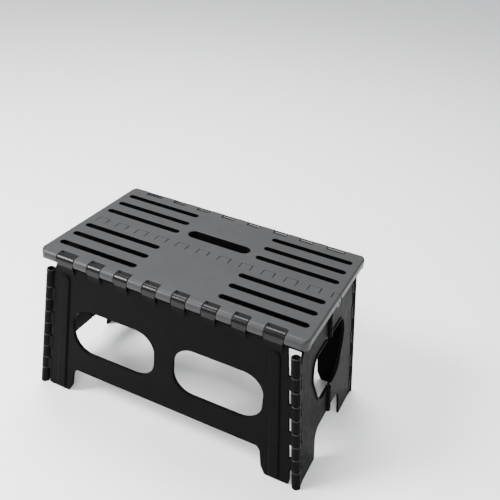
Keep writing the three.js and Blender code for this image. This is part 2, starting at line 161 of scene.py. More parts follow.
class StoolSizes(bpy.types.PropertyGroup):
    """Sizes of the moulded details."""

    slot_width: length_property("Slot width", "Width of the long slots in the top", 10.8 * MM)
    lining_depth: length_property("Lining depth", "From the top down to the slot linings' feet", 10 * MM)
    lining_wall: length_property("Lining wall", "Thickness of the slot linings", 0.8 * MM)
    slot_lip: length_property("Slot lip", "Rounding of the slots' upper edges", 0.6 * MM)
    plate: length_property("Plate", "Thickness of the slotted top", 3.5 * MM)
    skirt: length_property("Skirt", "Thickness of the top's end walls", 3.5 * MM)
    plan_corner: length_property("Plan corner", "Radius of the top's corners in plan", 14 * MM)
    end_edge: length_property("End edge", "Rounding of the top's end edges", 3.5 * MM)
    barrel_end: length_property("Barrel end", "Rounding of the ends of the outer edges", 4 * MM)
    notch_lip: length_property("Notch lip", "Rounding of the hinge notches", 1.1 * MM)
    seam_lip: length_property("Seam lip", "Rounding along the centre seam", 0.9 * MM)
    handle_half: length_property("Handle half length", "Half of the carrying slot's length", 50 * MM)
    handle_width: length_property("Handle width", "Width of the carrying slot", 21 * MM)
    handle_y: length_property("Handle place", "From the middle plane to the carrying slot", 35 * MM)
    handle_lip: length_property("Handle lip", "Rounding of the carrying slot", 1.2 * MM)
    panel_out: length_property("Panel face", "From the hinge plane out to the panel's face", 2.5 * MM)
    panel_in: length_property("Panel back", "From the hinge plane in to the panel's back", 0.5 * MM)
    panel_flange: length_property("Panel flange", "Depth of the rims behind the panel", 3 * MM)
    window_lip: length_property("Window lip", "Rounding of the panel's windows", 1.5 * MM)
    rib_rise: length_property("Rib rise", "Height of the panel's raised ribs", 2.6 * MM)
    knuckle_lip: length_property("Knuckle lip", "Rounding of the ends of the knuckles", 0.8 * MM)
    knuckle_radius: length_property("Knuckle radius", "Panel knuckles of the top hinges", 7.7 * MM)
    leaf_out: length_property("Leaf face", "From the column plane out to the leaf's face", 4 * MM)
    leaf_in: length_property("Leaf back", "From the column plane out to the leaf's back", 0.8 * MM)
    leaf_rim: length_property("Leaf rim", "Height of the rim round the end window", 1.7 * MM)
    arc_steps: IntProperty(name="Arc steps", description="Steps in each rounded corner",
                           default=10, min=3, max=32)


class StoolColours(bpy.types.PropertyGroup):
    """Colours of the plastics and of the studio."""

    grey: colour_property("Top grey", "Dark grey of the standing surface", (0.0315, 0.032, 0.033))
    black: colour_property("Leg black", "Black of the panels and leaves", (0.0040, 0.0039, 0.0040))
    rod: colour_property("Rod black", "Black of the hinge rods", (0.02, 0.02, 0.021))
    # Painted highlight: lighter black for the light lines on the column knuckles' rims.
    rim_highlight: colour_property("Rim highlight black", "Lighter black painted as highlight on the knuckles' rims", (0.022, 0.022, 0.022))
    # Painted shade: near-black for the wells put in the slots and the carrying slot, where there is only
    # shade below.
    slot: colour_property("Slot painted shade black", "Near-black painted as shade in the slots' depths", (0.001, 0.001, 0.001))
    floor: colour_property("Floor", "Pale studio floor", (0.92, 0.92, 0.92))


# ---- selecting, cutting and joining ----------------------------------------------------------

def only(obj):
    """Select one object alone and make it active."""
    if bpy.context.mode != "OBJECT":
        bpy.ops.object.mode_set(mode="OBJECT")
    bpy.ops.object.select_all(action="DESELECT")
    obj.select_set(True)
    bpy.context.view_layer.objects.active = obj


def fix_normals(obj):
    """Make the faces of a closed mesh point outwards."""
    only(obj)
    bpy.ops.object.mode_set(mode="EDIT")
    bpy.ops.mesh.select_all(action="SELECT")
    bpy.ops.mesh.normals_make_consistent(inside=False)
    bpy.ops.object.mode_set(mode="OBJECT")


def boolean(target, tool, operation):
    """Cut, join or intersect the target with a tool, which is used up."""
    only(target)
    modifier = target.modifiers.new(operation.title(), "BOOLEAN")
    modifier.operation = operation
    modifier.solver = "EXACT"
    modifier.object = tool
    bpy.ops.object.modifier_apply(modifier=modifier.name)
    bpy.data.objects.remove(tool, do_unlink=True)


def cut(target, tool):
    """Take a tool away from the target."""
    boolean(target, tool, "DIFFERENCE")


def fuse(target, tool):
    """Join a tool to the target."""
    boolean(target, tool, "UNION")


def gather(objects):
    """Join separate objects into one, without merging their shells."""
    only(objects[0])
    for obj in objects:
        obj.select_set(True)
    bpy.ops.object.join()
    return bpy.context.view_layer.objects.active


def round_edges(obj, width, segments, chosen, sharpness=50):
    """Bevel the convex edges sharper than an angle whose middle passes a test."""
    only(obj)
    bpy.ops.object.mode_set(mode="EDIT")
    bpy.ops.mesh.select_mode(type="EDGE")
    bpy.ops.mesh.select_all(action="DESELECT")
    mesh = bmesh.from_edit_mesh(obj.data)
    limit = math.radians(sharpness)
    found = 0
    for edge in mesh.edges:
        if len(edge.link_faces) != 2 or edge.calc_face_angle_signed(0.0) < limit:
            continue
        if chosen((edge.verts[0].co + edge.verts[1].co) / 2):
            edge.select_set(True)
            found += 1
    bmesh.update_edit_mesh(obj.data)
    if found:
        bpy.ops.mesh.bevel(offset=width, segments=segments, profile=0.5, affect="EDGES")
    bpy.ops.object.mode_set(mode="OBJECT")


def anywhere(_):
    """Choose every edge."""
    return True


# ---- starting shapes -------------------------------------------------------------------------

def add_box(low, high, lip=0.0, segments=2):
    """Add a box between two corners, with its edges rounded."""
    size = [abs(b - a) for a, b in zip(low, high)]
    middle = [(a + b) / 2 for a, b in zip(low, high)]
    bpy.ops.mesh.primitive_cube_add(size=1, location=middle, scale=size)
    obj = bpy.context.active_object
    bpy.ops.object.transform_apply(location=True, rotation=True, scale=True)
    if lip:
        round_edges(obj, lip, segments, anywhere)
    return obj


def add_bar(start, end, radius, lip=0.0, sides=32):
    """Add a round bar between two points, with the rims of its ends rounded."""
    start, end = Vector(start), Vector(end)
    along = end - start
    turn = along.to_track_quat("Z", "Y").to_euler()
    bpy.ops.mesh.primitive_cylinder_add(vertices=sides, radius=radius, depth=along.length,
                                        location=(start + end) / 2, rotation=turn)
    obj = bpy.context.active_object
    bpy.ops.object.transform_apply(location=True, rotation=True, scale=True)
    if lip:
        round_edges(obj, lip, 3 if lip < MM else 6, anywhere)
    return obj


def rounded(corners, steps):
    """Return the points of an outline, from corners given as (a, b, radius)."""
    points = []
    for i, (a, b, radius) in enumerate(corners):
        corner = Vector((a, b))
        back = (Vector(corners[i - 1][:2]) - corner).normalized()
        ahead = (Vector(corners[(i + 1) % len(corners)][:2]) - corner).normalized()
        half = back.angle(ahead) / 2
        if radius <= 0 or abs(half - math.pi / 2) < 1e-4:
            points.append(corner)
            continue
        centre = corner + (back + ahead).normalized() * (radius / math.sin(half))
        start = corner + back * (radius / math.tan(half)) - centre
        end = corner + ahead * (radius / math.tan(half)) - centre
        turn = start.angle_signed(end)
        count = max(2, round(steps * abs(turn) / (math.pi / 2)))
        for k in range(count + 1):
            angle = -turn * k / count
            points.append(centre + Matrix.Rotation(angle, 2) @ start)
    return points


def add_slab(corners, place, depth, steps):
    """Add an outline with a thickness. place turns its own X, Y and depth into the frame's."""
    points = rounded(corners, steps)
    bpy.ops.mesh.primitive_circle_add(vertices=len(points), radius=1, fill_type="NGON")
    obj = bpy.context.active_object
    for vertex, (a, b) in zip(obj.data.vertices, points):
        vertex.co = (a, b, depth[0])
    only(obj)
    bpy.ops.object.mode_set(mode="EDIT")
    bpy.ops.mesh.select_all(action="SELECT")
    move = {"value": (0, 0, depth[1] - depth[0])}
    bpy.ops.mesh.extrude_region_move(TRANSFORM_OT_translate=move)
    bpy.ops.object.mode_set(mode="OBJECT")
    obj.data.transform(place)
    fix_normals(obj)
    return obj


def axes(first, second, third):
    """Return the matrix that turns an outline's own axes into three directions."""
    return Matrix((first, second, third)).transposed().to_4x4()


def end_frame(end):
    """Return one end's frame, with its Z up the leaning columns."""
    turn = Matrix.Rotation(-end * LEAN, 4, "Y")
    return Matrix.Translation((end * COLUMN_X, 0, 0)) @ turn


def put(obj, matrix):
    """Move a finished shape by a matrix, in its mesh."""
    obj.data.transform(matrix)
    return obj


# ---- spans along the hinges ------------------------------------------------------------------

def finger_spans(front):
    """Return the X spans of the centre fingers that one half carries."""
    spans = []
    x = FINGER_START if front else FINGER_START - FINGER
    while x < HALF_LENGTH - MM:
        spans.append((max(x, -HALF_LENGTH), min(x + FINGER, HALF_LENGTH)))
        x += 2 * FINGER
    return spans


def panel_spans(clearance):
    """Return the X spans of a panel's top knuckles, widened by a clearance."""
    spans = []
    for side in (-1, 1):
        for middle, width in PANEL_KNUCKLES:
            half = width * MM / 2 + clearance
            spans.append((side * middle * MM - half, side * middle * MM + half))
    return spans


def column_spans(of_leaf):
    """Return the levels of a corner column's knuckles, which leaf and panel share in turn."""
    first = 0 if of_leaf else 1
    pairs = list(zip(COLUMN_LEVELS, COLUMN_LEVELS[1:]))[first::2]
    return [(low * MM + GAP / 2, high * MM - GAP / 2) for low, high in pairs]


def fold_spans(side):
    """Return the levels of the end's middle knuckles that one leaf carries."""
    first = 0 if side < 0 else 1
    spans = []
    for start, pitch, count in FOLD_LEVELS:
        for i in range(first, count, 2):
            low = (start + i * pitch) * MM
            spans.append((low + GAP / 2, low + pitch * MM - GAP / 2))
    return spans


# ---- the top ---------------------------------------------------------------------------------

def half_section(front):
    """Return the section of one half, as distance from the middle plane, level and radius."""
    r = CENTRE_R
    low = BARREL_Z - BARREL_R
    tip = FRONT_TIP if front else REAR_TIP
    outer = [
        (tip, HEIGHT, 0.3 * MM),
        (OUTER_Y, HEIGHT, BARREL_R - NEAR),
        (OUTER_Y, low, BARREL_R - NEAR),
        (OUTER_Y - RAIL_FOOT, low, 3 * MM),
        (OUTER_Y - RAIL_WIDTH, low + RAIL_DROP, 0.6 * MM),
        (9 * MM, low + RAIL_DROP, 1 * MM),
        (r, CENTRE_Z - r, r - 0.1 * MM),
        (-r, CENTRE_Z - r, r - 0.1 * MM),
    ]
    if front:
        return outer + [(-r, CENTRE_Z + r, 3.4 * MM), (tip, CENTRE_Z + r, 0.3 * MM)]
    under = HEIGHT - FINGER_PLATE
    return outer + [(-r, under, 0.5 * MM), (tip, under, 0.5 * MM)]


def underside_cells(sizes, side):
    """Return the cutters of the open cells between the ribs under one half."""
    inside = HALF_LENGTH - sizes.skirt
    low, roof = BARREL_Z - 12 * MM, HEIGHT - sizes.plate
    rib_foot = HEIGHT - RIB_DEPTH
    outer = HINGE_Y - BARREL_R - 3.2 * MM
    cells = [add_box((-inside, side * CELL_START, low), (inside, side * outer, rib_foot))]
    xs = [-inside] + [-x for x in reversed(CELL_WALLS)] + CELL_WALLS + [inside]
    half_row = (SLOT_ROWS[1] - SLOT_ROWS[0]) / 2
    between_rows = [row + half_row for row in SLOT_ROWS[:2]]
    ys = [CELL_START - HALF_RIB] + between_rows + [outer + HALF_RIB]
    overlap = 0.2 * MM
    for x0, x1 in zip(xs, xs[1:]):
        for y0, y1 in zip(ys, ys[1:]):
            cells.append(add_box((x0 + HALF_RIB, side * (y0 + HALF_RIB), rib_foot - overlap),
                                 (x1 - HALF_RIB, side * (y1 - HALF_RIB), roof)))
    return cells


def top_envelope(sizes):
    """Return the outer form of the whole top, with round corners and end edges."""
    obj = add_box((-HALF_LENGTH, -OUTER_Y, BARREL_Z - PAST), (HALF_LENGTH, OUTER_Y, HEIGHT))

    def upright(point):
        return abs(abs(point.x) - HALF_LENGTH) < MM and abs(abs(point.y) - OUTER_Y) < MM

    round_edges(obj, sizes.plan_corner, 10, upright)
    round_edges(obj, sizes.end_edge, 6, lambda point: point.z > HEIGHT - MM)
    return obj


def slot_cutter(x0, x1, y, width, low, high, steps):
    """Return a cutter for a slot with round ends."""
    half = width / 2
    r = half - 0.01 * MM
    corners = [(x0, y - half, r), (x1, y - half, r), (x1, y + half, r), (x0, y + half, r)]
    return add_slab(corners, Matrix.Identity(4), (low, high), steps)


def slot_shade_well(sizes, end, y):
    """Return the near-black well that lines one slot: painted shade in the slot's depth."""
    low, high = HEIGHT - sizes.lining_depth, HEIGHT - sizes.slot_lip - 0.1 * MM
    x0, x1 = end * SLOT_SPAN[0], end * SLOT_SPAN[1]
    bite, wall = 0.3 * MM, sizes.lining_wall
    well = slot_cutter(x0 - end * bite, x1 + end * bite, y, sizes.slot_width + 2 * bite, low, high, 8)
    cut(well, slot_cutter(x0 + end * wall, x1 - end * wall, y, sizes.slot_width - 2 * wall,
                          low - MM, high + MM, 8))
    round_edges(well, 0.25 * MM, 2, lambda point: abs(point.z - low) < 0.01 * MM)
    return well


def handle_shade_well(sizes):
    """Return the near-black well that lines the carrying slot: painted shade in its depth."""
    reach, width, y = sizes.handle_half, sizes.handle_width, sizes.handle_y
    bite, wall = 0.3 * MM, 0.6 * MM
    well = slot_cutter(-reach - bite, reach + bite, y, width + 2 * bite,
                       HEIGHT - 9.6 * MM, HEIGHT - 1.4 * MM, 12)
    cut(well, slot_cutter(-reach + wall, reach - wall, y, width - 2 * wall,
                          HEIGHT - 12 * MM, HEIGHT, 12))
    return well


def add_slot_shade_linings(name, body, side):
    """Model the near-black wells that line one half's slots, painted shade in their depths, as one piece.
    """
    sizes = bpy.context.scene.stool_sizes
    wells = [slot_shade_well(sizes, end, side * row) for end in (-1, 1) for row in SLOT_ROWS]
    if side > 0:
        wells.append(handle_shade_well(sizes))
    finish_piece(gather(wells), name, body, [], "Slot painted shade black plastic")


def cut_centre_gaps(half, front, side):
    """Cut the gaps that the other half's centre fingers turn in."""
    seam = FRONT_SEAM if front else REAR_SEAM
    gaps = []
    for x0, x1 in finger_spans(not front):
        x0, x1 = x0 - GAP, x1 + GAP
        gaps.append(add_box((x0, -side * PAST, BARREL_Z - PAST), (x1, side * seam, ABOVE)))
        if not front:
            gaps.append(add_box((x0, side * (seam - MM), BARREL_Z - PAST),
                                (x1, side * FINGER_ROOM, HEIGHT - FINGER_PLATE)))
    for gap in gaps:
        cut(half, gap)


def round_barrel_ends(half, side, sizes):
    """Change the last stretch of the outer edge into a bar with a round end."""
    margin = 8 * MM
    for end in (-1, 1):
        cut(half, add_box((end * (HALF_LENGTH - margin), side * HINGE_Y, BARREL_Z - PAST),
                          (end * (HALF_LENGTH + margin), side * (OUTER_Y + margin), HEIGHT + margin)))
        fuse(half, add_bar((end * (HALF_LENGTH - 12 * MM), side * HINGE_Y, BARREL_Z),
                           (end * HALF_LENGTH, side * HINGE_Y, BARREL_Z),
                           BARREL_R - 0.02 * MM, sizes.barrel_end, 48))


def cut_slots(half, side, sizes):
    """Cut the long slots."""
    slots = [slot_cutter(end * SLOT_SPAN[0], end * SLOT_SPAN[1], side * row, sizes.slot_width,
                         HEIGHT - 7 * MM, HEIGHT + 2 * MM, 8)
             for end in (-1, 1) for row in SLOT_ROWS]
    cut(half, gather(slots))


def cut_notches(half, side):
    """Cut the notches for the panel's top knuckles."""
    notches = [add_box((x0, side * (OUTER_Y - NOTCH_DEPTH), BARREL_Z - PAST),
                       (x1, side * (OUTER_Y + PAST), ABOVE))
               for x0, x1 in panel_spans(0)]

    def inner_upright(point):
        return abs(point.y) < OUTER_Y - RAIL_WIDTH and abs(point.z - BARREL_Z) < 10 * MM

    for notch in notches:
        round_edges(notch, 2.2 * MM, 4, inner_upright)
    cut(half, gather(notches))


def add_handle(half, sizes):
    """Cut the carrying slot, with a collar under the plate and a soft upper edge."""
    reach, width, y = sizes.handle_half, sizes.handle_width, sizes.handle_y
    foot = HEIGHT - HANDLE_DEPTH
    collar = HANDLE_COLLAR
    fuse(half, slot_cutter(-reach - collar, reach + collar, y, width + 2 * collar,
                           foot, HEIGHT - 1 * MM, sizes.arc_steps))
    cut(half, slot_cutter(-reach, reach, y, width, HEIGHT - 14 * MM, ABOVE, sizes.arc_steps))

    def handle_edge(point):
        inside = abs(point.x) < reach + MM and abs(point.y - y) < width / 2 + MM
        return inside and (on_top(point) or point.z < foot + 0.1 * MM)

    round_edges(half, sizes.handle_lip, 4, handle_edge)


def on_top(point):
    """Say whether a point is on the standing surface."""
    return point.z > HEIGHT - NEAR


def slot_edge(point):
    """Say whether a point is on a slot's upper edge."""
    margin = 9 * MM
    return on_top(point) and SLOT_ROWS[0] - margin < abs(point.y) < SLOT_ROWS[2] + margin


def notch_edge(point):
    """Say whether a point is on an edge of a hinge notch."""
    out = abs(point.y)
    at_wall = any(abs(point.x - x) < NEAR for span in panel_spans(0) for x in span)
    return (at_wall and out > OUTER_Y - 13 * MM) or (on_top(point) and out > OUTER_Y - 18 * MM)


def seam_edge(point):
    """Say whether a point is on an upper edge along the centre seam."""
    return on_top(point) and -11.5 * MM < point.y < 12 * MM


def build_top_half(name, node, body, front):
    """Model one half of the top."""
    sizes = bpy.context.scene.stool_sizes
    side = -1 if front else 1
    place = axes((0, side, 0), (0, 0, 1), (1, 0, 0))
    half = add_slab(half_section(front), place, (-HALF_LENGTH, HALF_LENGTH), sizes.arc_steps)
    for cell in underside_cells(sizes, side):
        cut(half, cell)
    cut_centre_gaps(half, front, side)
    round_barrel_ends(half, side, sizes)
    boolean(half, top_envelope(sizes), "INTERSECT")
    cut_slots(half, side, sizes)
    cut_notches(half, side)
    if not front:
        add_handle(half, sizes)
    round_edges(half, sizes.slot_lip, 3, slot_edge)
    round_edges(half, sizes.notch_lip, 3, notch_edge)
    round_edges(half, sizes.seam_lip, 2, seam_edge)
    outer_reach, centre_reach = HALF_LENGTH - 11 * MM, HALF_LENGTH * 1.1
    y = side * HINGE_Y
    cut(half, gather([add_bar((-outer_reach, y, BARREL_Z), (outer_reach, y, BARREL_Z), PIN_BORE),
                      add_bar((-centre_reach, 0, CENTRE_Z), (centre_reach, 0, CENTRE_Z), PIN_BORE)]))
    finish_piece(half, name, body, [node], "Top grey plastic")


# ---- front and rear panels -------------------------------------------------------------------

def panel_edge_x(z):
    """Return how far out the panel's leaning edge is at a level."""
    return COLUMN_X - COLUMN_EDGE / math.cos(LEAN) - math.tan(LEAN) * z


def mirrored(half):
    """Return a whole outline from the corners of its right half."""
    return half + [(-a, b, r) for a, b, r in reversed(half)]


def panel_corners():
    """Return the panel's outline: a straight top, leaning sides, two feet and an arch."""
    return mirrored([
        (153.5 * MM, 49.5 * MM, 15 * MM),
        (158.5 * MM, 14 * MM, 8 * MM),
        (166 * MM, 0, 5 * MM),
        (panel_edge_x(0) - 2 * MM, 0, 3 * MM),
        (panel_edge_x(10 * MM), 10 * MM, 2 * MM),
        (panel_edge_x(PANEL_HEAD), PANEL_HEAD, 4 * MM),
    ])


def pocket_corners():
    """Return the outline of the hollow back, which leaves rims at the top and the arch."""
    side, foot = 240 * MM, -5 * MM
    return mirrored([
        (154 * MM, 52 * MM, 12 * MM),
        (154 * MM, foot, 1 * MM),
        (side, foot, 1 * MM),
        (side, 227.5 * MM, 1 * MM),
    ])


def window_corners(end, grow):
    """Return the outline of one window, enlarged by a margin."""
    near, far = end * (WINDOW_SIDES[0] - grow), end * (WINDOW_SIDES[1] + grow)
    low, high, r = WINDOW_LEVELS[0] - grow, WINDOW_LEVELS[1] + grow, WINDOW_R + grow
    return [(near, low, r), (far, low, r), (far, high, r), (near, high, r)]


def rib_corners(end):
    """Return the outline of the raised rib beside one corner."""
    foot_x, head_x = end * RIB_FOOT_X, end * (RIB_FOOT_X - RIB_LEAN * RIB_HEAD_Z)
    foot_r, head_r = 3 * MM, RIB_HALF - 0.3 * MM
    return [
        (foot_x - RIB_HALF, RIB_FOOT_Z, foot_r),
        (foot_x + RIB_HALF, RIB_FOOT_Z, foot_r),
        (head_x + RIB_HALF, RIB_HEAD_Z, head_r),
        (head_x - RIB_HALF, RIB_HEAD_Z, head_r),
    ]


def panel_sheet(sizes, side, place):
    """Return the panel's sheet, with its hollow back, its windows and soft edges."""
    steps = sizes.arc_steps
    panel = add_slab(panel_corners(), place, (-sizes.panel_flange, sizes.panel_out), steps)
    pocket = add_slab(pocket_corners(), place, (-10 * MM, -sizes.panel_in), steps)
    for end in (-1, 1):
        cut(pocket, add_slab(window_corners(end, WINDOW_RIM), place, THROUGH, steps * 2))
    cut(panel, pocket)
    for end in (-1, 1):
        cut(panel, add_slab(window_corners(end, 0), place, THROUGH, steps * 2))
    outer_face = HINGE_Y + sizes.panel_out - NEAR
    inner_rim = HINGE_Y - sizes.panel_flange + NEAR
    round_edges(panel, sizes.window_lip, 4, lambda point: abs(point.y) > outer_face)
    round_edges(panel, 0.5 * MM, 2, lambda point: abs(point.y) < inner_rim)
    return panel


def panel_rib(sizes, end, place):
    """Return one raised rib, rounded over its whole height."""
    face, rise = sizes.panel_out, sizes.rib_rise
    rib = add_slab(rib_corners(end), place, (face - 1 * MM, face + rise), sizes.arc_steps)
    crest = HINGE_Y + face + rise - NEAR
    round_edges(rib, rise * 0.98, 6, lambda point: abs(point.y) > crest)
    return rib


def build_panel(name, node, body, side):
    """Model one side panel with its windows, ribs and knuckles."""
    sizes = bpy.context.scene.stool_sizes
    y = side * HINGE_Y
    place = Matrix.Translation((0, y, 0)) @ axes((1, 0, 0), (0, 0, 1), (0, side, 0))
    panel = panel_sheet(sizes, side, place)
    for end in (-1, 1):
        fuse(panel, panel_rib(sizes, end, place))
    for x0, x1 in panel_spans(-GAP):
        fuse(panel, top_knuckle(sizes, side, x0, x1))
    for end in (-1, 1):
        for low, high in column_spans(False):
            fuse(panel, panel_column_knuckle(sizes, side, end, low, high))
        cut(panel, put(column_bore(y), end_frame(end)))
    reach = HALF_LENGTH * 1.1
    cut(panel, add_bar((-reach, y, BARREL_Z), (reach, y, BARREL_Z), PIN_BORE))
    # The column knuckles' rims get a painted highlight in lighter black.
    others = {"Knuckle black plastic": lambda point, normal: point.z > KNUCKLE_FOOT,
              "Rim highlight black plastic": on_column_rim}
    finish_piece(panel, name, body, [node], "Leg black plastic", others)


def top_knuckle(sizes, side, x0, x1):
    """Return a panel knuckle of the outer top hinge, with the neck that carries it."""
    r, lip, y = sizes.knuckle_radius, sizes.knuckle_lip, side * HINGE_Y
    knuckle = add_bar((x0, y, BARREL_Z), (x1, y, BARREL_Z), r, lip, 40)
    foot, head = 216 * MM, BARREL_Z
    back, front = -2.6 * MM, r * 0.97
    neck_corners = [
        (back, head, 0.2 * MM),
        (front, head, 0.2 * MM),
        (front, head - 6 * MM, 3 * MM),
        (sizes.panel_out - 0.4 * MM, foot, 1 * MM),
        (0, foot, 0.2 * MM),
        (back, head - 12 * MM, 1 * MM),
    ]
    place = Matrix.Translation((0, y, 0)) @ axes((0, side, 0), (0, 0, 1), (1, 0, 0))
    fuse(knuckle, add_slab(neck_corners, place, (x0 + lip, x1 - lip), 6))
    return knuckle


def column_knuckle(sizes, y, low, high):
    """Return the round part of a corner column's knuckle, in its end's frame."""
    return add_bar((0, y, low), (0, y, high), COLUMN_R, sizes.knuckle_lip, 36)


def column_bore(y):
    """Return the cutter of a corner column's bore, in its end's frame."""
    return add_bar((0, y, BORE_LEVELS[0]), (0, y, BORE_LEVELS[1]), COLUMN_BORE)


def panel_column_knuckle(sizes, side, end, low, high):
    """Return a panel knuckle of a corner column, with the arm that carries it."""
    knuckle = column_knuckle(sizes, side * HINGE_Y, low, high)
    back, face = HINGE_Y - sizes.panel_in + NEAR, HINGE_Y + sizes.panel_out + ARM_RISE
    arm = add_box((-end * (COLUMN_EDGE + ARM_REACH), side * back, low + ARM_INSET),
                  (-end * 1 * MM, side * face, high - ARM_INSET), 0.4 * MM)
    fuse(knuckle, arm)
    return put(knuckle, end_frame(end))


# ---- end leaves ------------------------------------------------------------------------------

def leaf_corners(side):
    """Return one leaf's outline in its end's frame, as Y and height."""
    edge = HINGE_Y - COLUMN_EDGE
    corners = [
        (LEAF_EDGE, LEAF_ARCH, 0.5 * MM),
        (50 * MM, LEAF_ARCH, 17 * MM),
        (53 * MM, LEAF_FOOT, 1 * MM),
        (edge, LEAF_FOOT, 1 * MM),
        (edge, LEAF_SHOULDER, 6 * MM),
        (edge - 18 * MM, LEAF_HEAD, 8 * MM),
        (LEAF_EDGE, LEAF_HEAD, 1 * MM),
    ]
    return [(side * y, z, r) for y, z, r in corners]


def end_window_corners(grow):
    """Return the outline of the window that an end's two leaves share."""
    return mirrored([
        (38 * MM + grow, 92 * MM - grow, 24 * MM + grow),
        (64 * MM + grow, 146 * MM, 26 * MM),
        (58 * MM + grow, 177 * MM + grow, 17 * MM + grow),
    ])


def near_window(point):
    """Say whether a point in an end's frame is by the window's rim."""
    return abs(point.y) < 68 * MM and 88 * MM < point.z < 181 * MM


def leaf_sheet(sizes, end, side):
    """Return a leaf's sheet in its end's frame, with the raised rim of its half window."""
    place = axes((0, 1, 0), (0, 0, 1), (end, 0, 0))
    back, face = sizes.leaf_in, sizes.leaf_out
    rim_top = face + sizes.leaf_rim
    leaf = add_slab(leaf_corners(side), place, (back, face), sizes.arc_steps)
    rim = add_slab(end_window_corners(WINDOW_RIM), place, (back + 0.2 * MM, rim_top), sizes.arc_steps * 2)
    keep = add_box((-PAST, side * 11 * MM, 60 * MM), (PAST, side * 90 * MM, 210 * MM))
    boolean(rim, keep, "INTERSECT")
    fuse(leaf, rim)
    cut(leaf, add_slab(end_window_corners(0), place, THROUGH, sizes.arc_steps * 2))

    def outer_edge(point):
        on_face = abs(abs(point.x) - face) < NEAR
        return abs(point.x) > rim_top - NEAR or (on_face and not near_window(point))

    round_edges(leaf, 0.7 * MM, 3, outer_edge)
    round_edges(leaf, 0.5 * MM, 2, lambda point: abs(point.x) < back + NEAR)
    return leaf


def leaf_column_knuckle(sizes, end, side, low, high):
    """Return a leaf knuckle of a corner column, with the arm that carries it."""
    y = side * HINGE_Y
    knuckle = column_knuckle(sizes, y, low, high)
    back, face = sizes.leaf_in + NEAR, sizes.leaf_out + ARM_RISE
    arm = add_box((end * back, y - side * 1 * MM, low + ARM_INSET),
                  (end * face, y - side * (COLUMN_EDGE + ARM_REACH),
                   min(high, LEAF_SHOULDER) - ARM_INSET), 0.4 * MM)
    fuse(knuckle, arm)
    return knuckle


def middle_knuckle(sizes, end, side, low, high):
    """Return a leaf knuckle of an end's middle hinge, with the arm that carries it."""
    x = end * LINK_DROP
    knuckle = add_bar((x, 0, low), (x, 0, high), LEAF_R, 0.5 * MM, 28)
    back, face = sizes.leaf_in + NEAR, sizes.leaf_out - NEAR
    arm = add_box((end * back, side * 0.5 * MM, low + FOLD_ARM_INSET),
                  (end * face, side * (LEAF_EDGE + ARM_REACH), high - FOLD_ARM_INSET))
    fuse(knuckle, arm)
    return knuckle


def build_leaf(name, node, body, end, side):
    """Model one end leaf with its share of the window and of the knuckles."""
    sizes = bpy.context.scene.stool_sizes
    leaf = leaf_sheet(sizes, end, side)
    for low, high in column_spans(True):
        fuse(leaf, leaf_column_knuckle(sizes, end, side, low, high))
    for low, high in fold_spans(side):
        fuse(leaf, middle_knuckle(sizes, end, side, low, high))
    x = end * LINK_DROP
    cut(leaf, column_bore(side * HINGE_Y))
    cut(leaf, add_bar((x, 0, 20 * MM), (x, 0, 250 * MM), LEAF_BORE, 0, 20))
    put(leaf, end_frame(end))
    below_floor = add_box((-0.5, -0.3, -0.06), (0.5, 0.3, 0))
    cut(leaf, below_floor)
    # The column knuckles' rims get a painted highlight in lighter black.
    others = {"Rim highlight black plastic": on_column_rim}
    finish_piece(leaf, name, body, [node], "Leg black plastic", others)


def on_column_rim(point, normal):
    """Say whether a face is on the rounded rim of a corner column's knuckle, where a highlight is
    painted.
    """
    across = abs(point.x) - COLUMN_X + math.tan(LEAN) * point.z
    reach = math.hypot(across, abs(point.y) - HINGE_Y)
    return COLUMN_R - 0.9 * MM < reach < COLUMN_R + 0.2 * MM and 0.3 < abs(normal.z) < 0.97


# ---- finishing -------------------------------------------------------------------------------

MERGE = 0.01 * MM
SMOOTH_ANGLE = math.radians(38)


def finish_piece(obj, name, body, nodes, material, others=None):
    """Clean, shade and name a piece, and hang it on the frame.

    others gives further materials, each with a test of a face's middle and normal.
    """
    obj.name = name
    obj.data.name = name
    only(obj)
    bpy.ops.object.mode_set(mode="EDIT")
    bpy.ops.mesh.select_all(action="SELECT")
    bpy.ops.mesh.remove_doubles(threshold=MERGE)
    bpy.ops.mesh.dissolve_degenerate(threshold=MERGE)
    bpy.ops.mesh.select_all(action="DESELECT")
    bpy.ops.object.mode_set(mode="OBJECT")
    bpy.ops.object.shade_smooth_by_angle(angle=SMOOTH_ANGLE)
    weigh = obj.modifiers.new("Weigh", "WEIGHTED_NORMAL")
    weigh.keep_sharp = True
    weigh.weight = 80
    bpy.ops.object.modifier_apply(modifier=weigh.name)
    obj.data.materials.clear()
    obj.data.materials.append(bpy.data.materials[material])
    for index, (other, chosen) in enumerate((others or {}).items(), start=1):
        obj.data.materials.append(bpy.data.materials[other])
        for face in obj.data.polygons:
            if chosen(face.center, face.normal):
                face.material_index = index
    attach(obj, body)
    if nodes:
        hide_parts(*nodes)


# ---- materials -------------------------------------------------------------------------------

def new_material(name):
    """Return an empty node material and its shader."""
    material = bpy.data.materials.new(name)
    material.use_nodes = True
    return material, material.node_tree.nodes["Principled BSDF"]


def noise(tree, scale, detail, roughness=0.55):
    """Add noise that reads Object coordinates."""
    where = tree.nodes.get("Where") or tree.nodes.new("ShaderNodeTexCoord")
    where.name = "Where"
    node = tree.nodes.new("ShaderNodeTexNoise")
    node.inputs["Scale"].default_value = scale
    node.inputs["Detail"].default_value = detail
    node.inputs["Roughness"].default_value = roughness
    tree.links.new(where.outputs["Object"], node.inputs["Vector"])
    return node.outputs["Fac"]


def ramp(tree, value, stops):
    """Add a colour ramp with stops given as (place, colour)."""
    node = tree.nodes.new("ShaderNodeValToRGB")
    elements = node.color_ramp.elements
    while len(elements) < len(stops):
        elements.new(0.5)
    for element, (position, colour) in zip(elements, stops):
        element.position = position
        element.color = colour
    tree.links.new(value, node.inputs["Fac"])
    return node.outputs["Color"]


def shade(colour, factor):
    """Return a colour with alpha, made lighter or darker."""
    return tuple(min(1.0, c * factor) for c in colour) + (1.0,)


def grey_level(value):
    """Return a grey with alpha."""
    return (value, value, value, 1.0)


